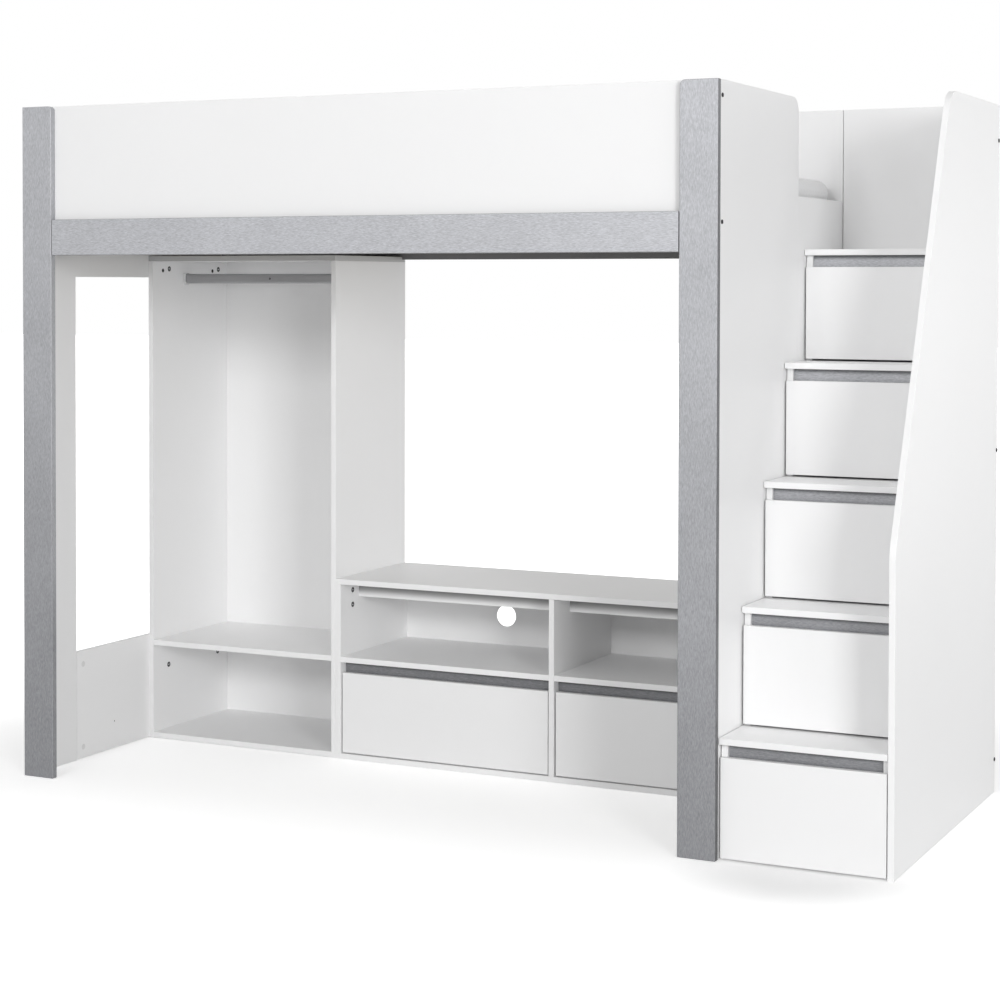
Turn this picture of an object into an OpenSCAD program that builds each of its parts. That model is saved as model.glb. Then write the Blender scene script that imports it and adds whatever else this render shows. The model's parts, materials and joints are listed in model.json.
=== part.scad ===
// High sleeper bed: a raised single bed on a wardrobe, a low cabinet and a staircase of drawers.
// Every board stands in a corner frame: X from the left end, Y from the front, Z from the floor.

/* [Bed] */
// Length of the mattress
mattress_l = 1900; // [1700:10:2100]
// Width of the mattress
mattress_w = 900; // [800:10:1200]
// Thickness of the mattress at its edge
mattress_t = 161; // [100:1:170]
// Rise of the mattress top from its edge to its middle
mattress_crown = 6; // [2:1:12]
// Room between each end of the mattress and the end boards
mattress_end_gap = 8; // [2:1:30]
// Room between each side of the mattress and the long boards
mattress_side_gap = 7; // [2:1:30]
// Height of the posts and of the front guard
bed_h = 1770; // [1700:5:2000]
// Thickness of the coated boards
board_t = 15; // [12:1:18]
// Width of a front post
post_w = 93; // [70:1:120]
// Thickness of the front posts and the front rail
post_t = 18; // [15:1:25]
// Radius of the inner top corner of each post
post_corner_r = 12; // [4:1:30]
// Height of the front rail
rail_h = 93; // [60:1:130]
// Gap between the front rail and each post
rail_gap = 1.5; // [0.5:0.5:4]
// Radius of the rear top corner of the right end board
end_corner_r = 40; // [15:1:90]
// How far the right end board reaches over the side of the cabinet
end_overlap = 29; // [10:1:60]
// Height of the sill that is stepped over to get into bed
sill_h = 1526; // [1450:1:1560]

/* [Deck] */
// Number of slats
slat_count = 14; // [8:1:18]
// Width of a slat
slat_w = 70; // [40:1:80]
// Thickness of a slat
slat_t = 15; // [10:1:20]
// Edge radius of a slat
slat_edge_r = 4; // [1:0.5:4.5]
// Width of a bearer under the slats
bearer_w = 20; // [15:1:40]
// Height of a bearer under the slats
bearer_h = 20; // [15:1:30]
// How far the rear bearer reaches below the front rail, beside the wardrobe
bearer_drop = 3; // [0:1:20]

/* [Left end] */
// Width of the two uprights of the left end
upright_w = 190; // [120:1:220]
// Height of the opening in the left end
left_opening_h = 1324; // [1100:1:1370]
// Height of the top of the low board between the uprights
low_board_h = 298; // [150:1:500]
// Fitting gap round the low board
low_board_gap = 1.5; // [0.5:0.5:3]
// Height of the low board above the floor
low_board_lift = 3; // [0:1:30]

/* [Wardrobe and cabinet] */
// Depth of the wardrobe and of the cabinet
carcass_d = 399; // [320:1:420]
// Thickness of the back boards of the wardrobe and of the cabinet
back_t = 4; // [3:0.5:10]
// Distance from the rear of the carcass to the face of its back board
back_inset = 15; // [12:1:40]
// Overall width of the wardrobe
wardrobe_w = 620; // [450:5:800]
// Height of the wardrobe above the underside of the front rail
wardrobe_lift = 5; // [0:1:15]
// Height of the wardrobe shelf, to its top
shelf_z = 283; // [200:1:500]
// Floor clearance of the wardrobe bottom
bottom_lift = 2; // [0:1:30]
// Height of the oval hanging rail
tube_h = 28; // [20:1:35]
// Width of the oval hanging rail
tube_w = 15; // [12:1:20]
// Wall of the hanging rail
tube_wall = 1.2; // [0.8:0.1:2]
// Distance from the wardrobe top to the middle of the hanging rail
tube_drop = 64; // [50:1:120]
// Distance from the wardrobe front to the middle of the hanging rail
tube_inset = 164; // [120:1:250]
// Flange of a hanging rail socket, all round the rail
socket_rim = 5; // [3:0.5:10]
// Depth of a hanging rail socket
socket_d = 8; // [5:0.5:15]
// Running clearance of the hanging rail in its socket
tube_clear = 0.4; // [0.2:0.1:1]
// Height of the cabinet
cabinet_h = 496; // [450:1:700]
// Height of the open bays in the cabinet
bay_h = 199; // [120:1:230]
// Distance from the left end of the cabinet to its divider
divider_x = 644; // [500:1:750]
// Height of the stretchers under the cabinet top
stretcher_h = 45; // [30:1:80]
// Distance of the stretchers from the cabinet front
stretcher_inset = 102; // [60:1:200]
// Radius of the cable hole in the cabinet back
cable_r = 30; // [15:1:40]
// Distance from the left end of the cabinet to the cable hole
cable_x = 335; // [150:1:500]
// Height of the cable hole above the cabinet shelf
cable_rise = 82; // [60:1:110]

/* [Stairs] */
// Height of one step
step_rise = 279; // [270:1:285]
// Going of one step
step_run = 151.5; // [130:0.5:160]
// Distance from the bed front to the first step
stair_front = 16; // [0:1:30]
// Width of the stair carcass
stair_w = 392; // [330:1:500]
// Gap between the stair carcass and the end of the bed
stair_gap = 2; // [0:1:5]
// Gap between a tread and the outer stair board
tread_gap = 1; // [0:0.5:2]
// Height of the posts above the back boards and the outer stair board
stair_drop = 3; // [0:1:40]
// Height of the upright part of the outer board's front edge
bend_h = 725; // [500:5:900]
// Distance that the front edge leans back above the bend
lean = 455; // [250:5:500]
// Radius at the bend of the front edge
bend_r = 120; // [40:5:200]
// Radius of the top front corner of the outer board
top_corner_r = 75; // [30:5:110]

/* [Drawers] */
// Height of the grip gap above a drawer front
grip_gap = 29; // [20:1:40]
// Height of a grip rail
grip_rail_h = 45; // [35:1:55]
// Finger room between a drawer front and its grip rail
finger_room = 10; // [6:1:20]
// Gap under a stair drawer front
stair_front_gap = 5; // [3:1:8]
// Gap beside a stair drawer front, at the bed and at the outer board
stair_side_gap = 3; // [1:0.5:6]
// Set-back of a stair drawer front from the tread above it
stair_set_back = 2; // [0:0.5:4]
// Gap round an inset cabinet drawer front
inset_gap = 4; // [2:0.5:5]
// Gap under an inset cabinet drawer front
inset_low_gap = 3; // [2:0.5:6]
// Set-back of an inset drawer front from the cabinet front
inset_set_back = 4; // [0:0.5:8]
// Clearance between an overlaid drawer front and the carcass
overlay_clear = 1; // [0.5:0.5:2]
// Thickness of a drawer side
side_t = 12; // [10:1:15]
// Height of a drawer side
side_h = 150; // [90:1:170]
// Room behind the drawer under the fourth step, which has the length of those below it
stair_box_room = 59.5; // [5:0.5:140]
// Room behind the drawer under the top step
top_box_room = 18; // [5:0.5:80]
// Room behind a cabinet drawer
cabinet_box_room = 15; // [5:0.5:100]
// Thickness of a drawer bottom
drawer_bottom_t = 3.5; // [3:0.5:6]
// Height of a drawer bottom above the lower edge of the sides
bottom_rise = 12; // [8:1:20]
// Gap at a glued joint between two boards of a drawer
glue_gap = 0.1; // [0.05:0.05:0.3]
// Depth of the groove that holds a drawer bottom
groove_d = 6; // [4:0.5:7]
// Clearance of a drawer bottom in its groove
groove_clear = 0.25; // [0.1:0.05:0.4]
// Height of a drawer side above the floor of its bay
box_lift = 24; // [20:1:35]

/* [Runners] */
// Room for a runner between a drawer side and the carcass
runner_room = 12.5; // [12:0.5:15]
// Thickness of the runner steel
steel_t = 1.2; // [0.8:0.1:1.5]
// Radius of a roller
roller_r = 8; // [6:0.5:9]
// Width of a roller
roller_w = 5; // [4:0.5:6]
// Radius of a roller pin
pin_r = 2; // [1.5:0.1:3]
// Running clearance of rollers and flanges
run_clear = 0.3; // [0.2:0.05:0.5]
// Clearance of a roller on its pin
pin_clear = 0.1; // [0.05:0.05:0.2]
// Play of the moving half inside the lips of the fixed half
flange_play = 1.2; // [0.6:0.1:1.5]

/* [Bolts] */
// Radius of a bolt head
bolt_head_r = 5; // [3:0.5:8]
// Height of a bolt head
bolt_head_h = 2; // [1:0.5:4]
// Radius of the hexagon socket in a bolt head, to its corners
bolt_hex_r = 2.4; // [1.5:0.1:2.8]
// Distance of the upper bolt of the bed from the top of the posts
bed_bolt_top = 36; // [20:1:80]
// Height of the lower bolt of the bed above the underside of the front rail
bed_bolt_low = 68; // [20:1:120]
// Distance of the upper bolt of the stairs from the top of the outer board
stair_bolt_top = 91; // [30:1:200]
// Height of the lower bolt of the stairs
stair_bolt_low = 86; // [30:1:200]

/* [Hidden] */

$fn = 48;
white = "#f2f2f2";
grey = "#a9abb0";
steps = 5;
arc_steps = 16;

// Overall sizes
bed_l = mattress_l + 2 * (mattress_end_gap + board_t);
depth = post_t + board_t + mattress_w + 2 * mattress_side_gap + board_t;
total_l = bed_l + stair_gap + stair_w + board_t + bolt_head_h;
stair_h = bed_h - stair_drop;

// Heights of the deck, up to the mattress
rail_z = steps * step_rise - board_t;
wardrobe_h = rail_z + wardrobe_lift;
slat_z = wardrobe_h + bearer_h;
mattress_z = slat_z + slat_t;

// Long boards
guard_y = [post_t, post_t + board_t];
back_y = [depth - board_t, depth];
inside_x = [board_t, bed_l - board_t];

// Wardrobe and cabinet
carcass_y = [back_y[0] - carcass_d, back_y[0]];
back_board_y = [carcass_y[1] - back_inset, carcass_y[1] - back_inset + back_t];
end_board_d = carcass_y[0] + end_overlap - post_t;
inner_y = [carcass_y[0], back_board_y[0]];
wardrobe_x = [inside_x[0], inside_x[0] + wardrobe_w];
wardrobe_in_x = [wardrobe_x[0] + board_t, wardrobe_x[1] - board_t];
tube_y = carcass_y[0] + tube_inset;
tube_z = wardrobe_h - tube_drop;
cabinet_x = [wardrobe_x[1], inside_x[1]];
cabinet_in_x = [cabinet_x[0] + board_t, cabinet_x[1] - board_t];
divider_side_x = [cabinet_x[0] + divider_x, cabinet_x[0] + divider_x + board_t];
bay_x = [[cabinet_in_x[0], divider_side_x[0]], [divider_side_x[1], cabinet_in_x[1]]];
bay_shelf_z = cabinet_h - board_t - bay_h;
bay_under_z = bay_shelf_z - board_t;
cable_pos = [cabinet_x[0] + cable_x, back_board_y[0], bay_shelf_z + cable_rise];

// Stairs
stair_x = [bed_l + stair_gap, bed_l + stair_gap + stair_w];
stair_in_x = [stair_x[0] + board_t, stair_x[1] - board_t];
side_set_back = stair_set_back + board_t + overlay_clear;
function step_y(k) = stair_front + (k - 1) * step_run;
function level_z(k) = (k - 1) * step_rise;
function tread_z(k) = k * step_rise - board_t;

// Drawer fronts: the lower stair boxes are longer than the one at the top
stair_front_x = [bed_l + stair_side_gap + stair_gap, stair_x[1] - stair_side_gap];
stair_front_h = step_rise - board_t - grip_gap - stair_front_gap;
inset_front_z = [board_t + inset_low_gap, bay_under_z - grip_gap];
box_y_stair = stair_set_back + board_t;
box_y_cabinet = carcass_y[0] + inset_set_back + board_t;
stair_box_l = back_y[0] - stair_box_room - step_y(steps - 1) - box_y_stair;
top_box_l = back_y[0] - top_box_room - step_y(steps) - box_y_stair;
cabinet_box_l = back_board_y[0] - cabinet_box_room - box_y_cabinet;
function stair_length(k) = k < steps ? stair_box_l : top_box_l;

// Runner section, from the carcass face and the lower edge of the drawer side
roller_z = steel_t + run_clear + roller_r;
flange_z = roller_z + roller_r + run_clear;
channel_h = flange_z + 2 * steel_t + flange_play;
web_x = runner_room - steel_t;
channel_w = web_x - flange_play;
roller_x = steel_t + 2 * run_clear;
roller_inset = 2 * roller_r;

// Mattress outline: points on a ring and rings from the lower centre to the upper centre
ring_side_points = 8;
ring_corner_points = 5;
ring_points = 4 * (ring_side_points + ring_corner_points);
mattress_corner_r = 60;
low_edge_r = 18;
top_edge_r = 34;
draw_in = 5;
function ring_at(i, j) = 2 + i * ring_points + j % ring_points;

module corner() translate([-total_l / 2, -depth / 2, 0]) children();

// A board between two places on each axis
module slab(x, y, z) translate([x[0], y[0], z[0]]) cube([x[1] - x[0], y[1] - y[0], z[1] - z[0]]);

// An outline drawn in Y and Z, turned into a board that starts at x
module side_profile(x, t) translate([x, 0, 0]) rotate([90, 0, 90]) linear_extrude(t) children();

// An outline drawn in X and Z, turned into a board that starts at y
module front_profile(y, t) translate([0, y + t, 0]) rotate([90, 0, 0]) linear_extrude(t) children();

// A rectangle in two directions with rounded corners, all round
module soft_rect(size, r) {
    translate([r, 0]) square([size[0] - 2 * r, size[1]]);
    translate([0, r]) square([size[0], size[1] - 2 * r]);
    for (x = [r, size[0] - r], z = [r, size[1] - r]) translate([x, z]) circle(r);
}

// Points of the arc that rounds corner c of an outline, on the way from a to b
function unit(v) = v / norm(v);
function arc_points(a, c, b, r) =
    let (u = unit(a - c), v = unit(b - c), cut = r / tan(acos(u * v) / 2),
         centre = c + unit(u + v) * norm([cut, r]),
         from = c + u * cut - centre, to = c + v * cut - centre, turn = acos(unit(from) * unit(to)))
    [for (i = [0 : arc_steps]) let (t = i / arc_steps)
        centre + (from * sin((1 - t) * turn) + to * sin(t * turn)) / sin(turn)];

// Bed frame

module post(inner_right) {
    // The inner top corner is the rounded one
    translate([inner_right ? 0 : post_w, 0]) mirror([inner_right ? 0 : 1, 0]) {
        square([post_w, bed_h - post_corner_r]);
        square([post_w - post_corner_r, bed_h]);
        translate([post_w - post_corner_r, bed_h - post_corner_r]) circle(post_corner_r);
    }
}

module front_post_left() color(grey) corner() front_profile(0, post_t) post(true);

module front_post_right() color(grey) corner()
    translate([bed_l - post_w, 0, 0]) front_profile(0, post_t) post(false);

module front_rail() color(grey) corner()
    slab([post_w + rail_gap, bed_l - post_w - rail_gap], [0, post_t], [rail_z, rail_z + rail_h]);

module front_guard_panel() color(white) corner() slab(inside_x, guard_y, [rail_z, bed_h]);

module back_guard_panel() color(white) corner() slab([0, bed_l], back_y, [rail_z, stair_h]);

// Two uprights and the board above them, cut in one piece
module left_end_panel() color(white) corner() side_profile(0, board_t) difference() {
    translate([post_t, 0]) square([back_y[0] - post_t, bed_h]);
    translate([post_t + upright_w, -1]) square([back_y[0] - post_t - 2 * upright_w, left_opening_h + 1]);
}

module left_end_low_board() color(white) corner()
    slab([0, board_t],
         [post_t + upright_w + low_board_gap, back_y[0] - upright_w - low_board_gap],
         [low_board_lift, low_board_h]);

module right_end_panel() color(white) corner() side_profile(bed_l - board_t, board_t)
    translate([post_t, 0]) {
        square([end_board_d, bed_h - end_corner_r]);
        square([end_board_d - end_corner_r, bed_h]);
        translate([end_board_d - end_corner_r, bed_h - end_corner_r]) circle(end_corner_r);
    }

module right_end_sill_panel() color(white) corner()
    slab([bed_l - board_t, bed_l], [post_t + end_board_d, back_y[0]], [0, sill_h]);

// Deck

// A bearer along each guard: the rear one is deeper where it runs clear of the wardrobe
module deck_bearers() color("#56575a") corner() {
    for (y = [guard_y[1], back_y[0] - bearer_w]) slab(inside_x, [y, y + bearer_w], [wardrobe_h, slat_z]);
    slab([wardrobe_x[1], inside_x[1]], [back_y[0] - bearer_w, back_y[0]], [rail_z - bearer_drop, slat_z]);
}

module bed_slats() color("#d9c39a") corner() {
    pitch = (inside_x[1] - inside_x[0] - slat_w) / slat_count;
    for (i = [0 : slat_count - 1])
        translate([inside_x[0] + pitch * (i + 0.5), guard_y[1], slat_z])
            front_profile(0, back_y[0] - guard_y[1]) soft_rect([slat_w, slat_t], slat_edge_r);
}

// One ring round the mattress, inset from its outline; each side draws in a little between its corners
function side_ring(half, r, inset, waist) = [
    for (q = [0 : 3])
        let (out = half[q % 2] - inset, along = half[(q + 1) % 2] - inset, c = max(r - inset, 1))
        for (p = [
            for (i = [0 : ring_side_points - 1]) let (s = i / ring_side_points * 2 - 1)
                [out - waist * (1 - s * s), s * (along - c)],
            for (i = [0 : ring_corner_points - 1]) let (a = 90 * i / ring_corner_points)
                [out - c, along - c] + c * [cos(a), sin(a)],
        ]) [p[0] * cos(90 * q) - p[1] * sin(90 * q), p[0] * sin(90 * q) + p[1] * cos(90 * q)]
];

module mattress() color("#e2e2e4") corner() {
    half = [mattress_l / 2, mattress_w / 2];
    side = mattress_t - low_edge_r - top_edge_r;
    // Inset from the outline, height and waist of each ring
    levels = concat(
        [for (a = [0, 45, 90]) [low_edge_r * (1 - sin(a)), low_edge_r * (1 - cos(a)), 0]],
        [for (s = [0.25, 0.5, 0.75]) [0, low_edge_r + s * side, draw_in * sin(180 * s)]],
        [for (a = [0, 30, 60]) [top_edge_r * (1 - cos(a)), mattress_t - top_edge_r * (1 - sin(a)), 0]],
        [for (s = [0.1, 0.25, 0.5, 0.8])
            [top_edge_r + s * (half[1] - top_edge_r), mattress_t + mattress_crown * (1 - pow(1 - s, 6)), 0]]);
    rings = [for (l = levels) [for (p = side_ring(half, mattress_corner_r, l[0], l[2])) [p[0], p[1], l[1]]]];
    points = concat([[0, 0, 0], [0, 0, mattress_t + mattress_crown]], [for (r = rings) each r]);
    last = len(levels) - 1;
    faces = concat(
        [for (j = [0 : ring_points - 1]) [0, ring_at(0, j), ring_at(0, j + 1)]],
        [for (j = [0 : ring_points - 1]) [1, ring_at(last, j + 1), ring_at(last, j)]],
        [for (i = [0 : last - 1], j = [0 : ring_points - 1], upper = [0, 1])
            upper == 0 ? [ring_at(i, j), ring_at(i + 1, j), ring_at(i, j + 1)]
                       : [ring_at(i, j + 1), ring_at(i + 1, j), ring_at(i + 1, j + 1)]]);
    translate([bed_l / 2, guard_y[1] + mattress_side_gap + half[1], mattress_z]) polyhedron(points, faces);
}

// Wardrobe

module wardrobe_left_side() color(white) corner()
    slab([wardrobe_x[0], wardrobe_in_x[0]], carcass_y, [0, wardrobe_h - board_t]);

module wardrobe_right_side() color(white) corner()
    slab([wardrobe_in_x[1], wardrobe_x[1]], carcass_y, [0, wardrobe_h - board_t]);

module wardrobe_top() color(white) corner() slab(wardrobe_x, carcass_y, [wardrobe_h - board_t, wardrobe_h]);

module wardrobe_bottom() color(white) corner()
    slab(wardrobe_in_x, inner_y, [bottom_lift, bottom_lift + board_t]);

module wardrobe_shelf() color(white) corner() slab(wardrobe_in_x, inner_y, [shelf_z - board_t, shelf_z]);

module wardrobe_back() color(white) corner()
    slab(wardrobe_in_x, back_board_y, [bottom_lift, wardrobe_h - board_t]);

// An upright oval, with its middle at the origin
module oval(w, h) {
    square([w, h - w], center = true);
    for (s = [-1, 1]) translate([0, s * (h - w) / 2]) circle(w / 2);
}

module hanging_rail() color("silver") corner()
    translate([0, tube_y, tube_z])
        side_profile(wardrobe_in_x[0] + tube_clear, wardrobe_in_x[1] - wardrobe_in_x[0] - 2 * tube_clear)
            difference() {
                oval(tube_w, tube_h);
                oval(tube_w - 2 * tube_wall, tube_h - 2 * tube_wall);
            }

// A flange on the wardrobe side with a collar that the rail drops into from above
module hanging_rail_sockets() color(white) corner()
    for (x = [wardrobe_in_x[0], wardrobe_in_x[1] - socket_d]) translate([0, tube_y, tube_z])
        side_profile(x, socket_d) difference() {
            oval(tube_w + 2 * socket_rim, tube_h + 2 * socket_rim);
            union() {
                oval(tube_w + 2 * tube_clear, tube_h + 2 * tube_clear);
                translate([-tube_w / 2 - tube_clear, 0]) square([tube_w + 2 * tube_clear, tube_h]);
            }
        }

// Low cabinet

module cabinet_left_side() color(white) corner()
    slab([cabinet_x[0], cabinet_in_x[0]], carcass_y, [0, cabinet_h - board_t]);

module cabinet_right_side() color(white) corner()
    slab([cabinet_in_x[1], cabinet_x[1]], carcass_y, [0, cabinet_h - board_t]);

module cabinet_divider() color(white) corner()
    slab(divider_side_x, inner_y, [board_t, cabinet_h - board_t]);

module cabinet_top() color(white) corner() slab(cabinet_x, carcass_y, [cabinet_h - board_t, cabinet_h]);

module cabinet_bottom() color(white) corner() slab(cabinet_in_x, carcass_y, [0, board_t]);

module cabinet_shelves() color(white) corner()
    for (x = bay_x) slab(x, inner_y, [bay_under_z, bay_shelf_z]);

module cabinet_back() color(white) corner() difference() {
    slab(cabinet_in_x, back_board_y, [board_t, cabinet_h - board_t]);
    translate(cable_pos) rotate([-90, 0, 0]) translate([0, 0, -1]) cylinder(r = cable_r, h = back_t + 2);
}

module cabinet_stretchers() color(white) corner()
    for (x = bay_x)
        slab(x, [carcass_y[0] + stretcher_inset, carcass_y[0] + stretcher_inset + board_t],
             [cabinet_h - board_t - stretcher_h, cabinet_h - board_t]);

module cabinet_grip_rails() color(grey) corner()
    for (x = bay_x) grip_rail(x, box_y_cabinet, bay_under_z);

// A coloured rail under a board, set behind the drawer front so that fingers reach its top edge
module grip_rail(x, y, top) slab(x, [y + finger_room, y + finger_room + board_t], [top - grip_rail_h, top]);

// Staircase

// The stepped side: each step starts where the drawer front lies against it
module stair_side_outline() polygon(concat(
    [for (k = [1 : steps], p = [
        [step_y(k) + side_set_back, k == 1 ? 0 : tread_z(k - 1)],
        [step_y(k) + side_set_back, tread_z(k)],
    ]) p],
    [[back_y[0], tread_z(steps)], [back_y[0], 0]]));

module stair_left_side() color(white) corner() side_profile(stair_x[0], board_t) stair_side_outline();

module stair_right_side() color(white) corner() side_profile(stair_in_x[1], board_t) stair_side_outline();

// Upright to the bend, leaning back to a rounded top corner
module stair_outer_panel() color("#f6f6f6") corner() side_profile(stair_x[1], board_t) {
    foot = [stair_front, 0];
    bend = [stair_front, bend_h];
    top = [stair_front + lean, stair_h];
    rear = [depth, stair_h];
    polygon(concat([foot], arc_points(foot, bend, top, bend_r), arc_points(bend, top, rear, top_corner_r),
                   [rear, [depth, 0]]));
}

// Each tread spans the carcass in front and runs back between the sides as the floor of the next drawer
module tread(k) {
    butt_y = k < steps ? step_y(k + 1) + side_set_back : back_y[0];
    slab([stair_x[0], stair_x[1] - tread_gap], [step_y(k), butt_y], [tread_z(k), k * step_rise]);
    slab(stair_in_x, [step_y(k), back_y[0]], [tread_z(k), k * step_rise]);
}

module stair_treads() color(white) corner() for (k = [1 : steps]) tread(k);

// Its rear half butts against the back guard, the front half is rebated and leaves a shadow line
module stair_back_panel() color(white) corner() {
    slab(stair_x, back_y, [0, stair_h]);
    slab([bed_l, stair_x[1]], [back_y[1] - board_t / 2, back_y[1]], [0, stair_h]);
}

module stair_bottom() color(white) corner()
    slab(stair_in_x, [step_y(1) + side_set_back, back_y[0]], [0, board_t]);

module stair_grip_rails() color(grey) corner()
    for (k = [1 : steps]) grip_rail(stair_in_x, step_y(k) + box_y_stair, tread_z(k));

// Drawers: a box in its own frame starts at the back of the front, between the runners

// Fixed half of a runner: a channel with a roller on a pin near its front
module fixed_runner(l) {
    union() {
        slab([0, steel_t], [0, l], [0, channel_h]);
        slab([0, channel_w], [0, l], [0, steel_t]);
        slab([0, channel_w - 2 * steel_t], [0, l], [channel_h - steel_t, channel_h]);
        runner_pin(0, roller_x + roller_w + steel_t);
    }
    runner_roller(roller_x);
}

module runner_pin(x0, x1) translate([x0, roller_inset, roller_z]) rotate([0, 90, 0])
    cylinder(r = pin_r, h = x1 - x0);

module runner_roller(x) translate([x, roller_inset, roller_z]) rotate([0, 90, 0]) difference() {
    cylinder(r = roller_r, h = roller_w);
    translate([0, 0, -1]) cylinder(r = pin_r + pin_clear, h = roller_w + 2);
}

// Moving half: it cups the lower edge of the drawer side, with a roller on a pin at its rear end
module moving_runner(l) {
    union() {
        slab([web_x, runner_room], [0, l], [-steel_t, flange_z + steel_t]);
        slab([roller_x, runner_room], [0, l], [flange_z, flange_z + steel_t]);
        slab([web_x, runner_room + side_t], [0, l], [-steel_t, 0]);
        translate([0, l - 2 * roller_inset, 0]) runner_pin(roller_x + steel_t, runner_room);
    }
    translate([0, l - 2 * roller_inset, 0]) runner_roller(roller_x + steel_t);
}

// A runner half on both faces of a bay
module both_sides(x) {
    translate([x[0], 0, 0]) children();
    translate([x[1], 0, 0]) mirror([1, 0, 0]) children();
}

// Sides and back standing over a thin bottom that is held in grooves
module drawer_box(x, l) {
    outer = [x[0] + runner_room, x[1] - runner_room];
    inner = [outer[0] + side_t, outer[1] - side_t];
    held = [inner[0] - groove_d + groove_clear, inner[1] + groove_d - groove_clear];
    bottom_z = [bottom_rise, bottom_rise + drawer_bottom_t];
    slot_z = [bottom_z[0] - groove_clear, bottom_z[1] + groove_clear];
    for (s = [[outer[0], inner[0]], [inner[1], outer[1]]]) difference() {
        slab(s, [0, l], [0, side_h]);
        slab([inner[0] - groove_d, inner[1] + groove_d], [-1, l + 1], slot_z);
    }
    slab([inner[0] + glue_gap, inner[1] - glue_gap], [l - side_t, l], [slot_z[1], side_h]);
    slab(held, [0, l], bottom_z);
}

module at_stair_box(k) translate([0, step_y(k) + box_y_stair, level_z(k) + box_lift]) children();

module at_cabinet_box() translate([0, box_y_cabinet, board_t + box_lift]) children();

module stair_front_board(k) color(white) corner()
    slab(stair_front_x, [step_y(k) + stair_set_back, step_y(k) + stair_set_back + board_t],
         [level_z(k) + stair_front_gap, level_z(k) + stair_front_gap + stair_front_h]);

module stair_box(k) color("#ececec") corner() at_stair_box(k) drawer_box(stair_in_x, stair_length(k));

module stair_box_runners(k) color("#e8e8e8") corner() at_stair_box(k)
    both_sides(stair_in_x) moving_runner(stair_length(k));

module inset_front_board(x) color(white) corner()
    slab([x[0] + inset_gap, x[1] - inset_gap],
         [carcass_y[0] + inset_set_back, carcass_y[0] + inset_set_back + board_t], inset_front_z);

module cabinet_box(x) color("#ececec") corner() at_cabinet_box() drawer_box(x, cabinet_box_l);

module cabinet_box_runners(x) color("#e8e8e8") corner() at_cabinet_box()
    both_sides(x) moving_runner(cabinet_box_l);

module carcass_runners() color("#e8e8e8") corner() {
    for (k = [1 : steps]) at_stair_box(k) translate([0, overlay_clear, 0])
        both_sides(stair_in_x) fixed_runner(stair_length(k) - overlay_clear);
    for (x = bay_x) at_cabinet_box() translate([0, overlay_clear, 0])
        both_sides(x) fixed_runner(cabinet_box_l - overlay_clear);
}

module stair_drawer_1_front() stair_front_board(1);
module stair_drawer_2_front() stair_front_board(2);
module stair_drawer_3_front() stair_front_board(3);
module stair_drawer_4_front() stair_front_board(4);
module stair_drawer_5_front() stair_front_board(5);
module stair_drawer_1_box() stair_box(1);
module stair_drawer_2_box() stair_box(2);
module stair_drawer_3_box() stair_box(3);
module stair_drawer_4_box() stair_box(4);
module stair_drawer_5_box() stair_box(5);
module stair_drawer_1_runners() stair_box_runners(1);
module stair_drawer_2_runners() stair_box_runners(2);
module stair_drawer_3_runners() stair_box_runners(3);
module stair_drawer_4_runners() stair_box_runners(4);
module stair_drawer_5_runners() stair_box_runners(5);
module cabinet_drawer_left_front() inset_front_board(bay_x[0]);
module cabinet_drawer_left_box() cabinet_box(bay_x[0]);
module cabinet_drawer_left_runners() cabinet_box_runners(bay_x[0]);
module cabinet_drawer_right_front() inset_front_board(bay_x[1]);
module cabinet_drawer_right_box() cabinet_box(bay_x[1]);
module cabinet_drawer_right_runners() cabinet_box_runners(bay_x[1]);

// Bolts through the end boards into the edges of the long boards

module bolt(x, y, z) translate([x, y, z]) rotate([0, 90, 0]) difference() {
    cylinder(r = bolt_head_r, h = bolt_head_h);
    translate([0, 0, bolt_head_h / 2]) cylinder(r = bolt_hex_r, h = bolt_head_h, $fn = 6);
}

module panel_bolts() color("#3a3a3c") corner() {
    for (z = [rail_z + bed_bolt_low, bed_h - bed_bolt_top]) bolt(bed_l, guard_y[0] + board_t / 2, z);
    for (z = [stair_bolt_low, stair_h / 2, stair_h - stair_bolt_top])
        bolt(stair_x[1] + board_t, back_y[0] + board_t / 2, z);
}

front_post_left();
front_post_right();
front_rail();
front_guard_panel();
back_guard_panel();
left_end_panel();
left_end_low_board();
right_end_panel();
right_end_sill_panel();
deck_bearers();
bed_slats();
mattress();
wardrobe_left_side();
wardrobe_right_side();
wardrobe_top();
wardrobe_bottom();
wardrobe_shelf();
wardrobe_back();
hanging_rail();
hanging_rail_sockets();
cabinet_left_side();
cabinet_divider();
cabinet_right_side();
cabinet_top();
cabinet_bottom();
cabinet_shelves();
cabinet_back();
cabinet_stretchers();
cabinet_grip_rails();
stair_left_side();
stair_right_side();
stair_outer_panel();
stair_treads();
stair_back_panel();
stair_bottom();
stair_grip_rails();
carcass_runners();
panel_bolts();
stair_drawer_1_front();
stair_drawer_1_box();
stair_drawer_1_runners();
stair_drawer_2_front();
stair_drawer_2_box();
stair_drawer_2_runners();
stair_drawer_3_front();
stair_drawer_3_box();
stair_drawer_3_runners();
stair_drawer_4_front();
stair_drawer_4_box();
stair_drawer_4_runners();
stair_drawer_5_front();
stair_drawer_5_box();
stair_drawer_5_runners();
cabinet_drawer_left_front();
cabinet_drawer_left_box();
cabinet_drawer_left_runners();
cabinet_drawer_right_front();
cabinet_drawer_right_box();
cabinet_drawer_right_runners();
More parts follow.
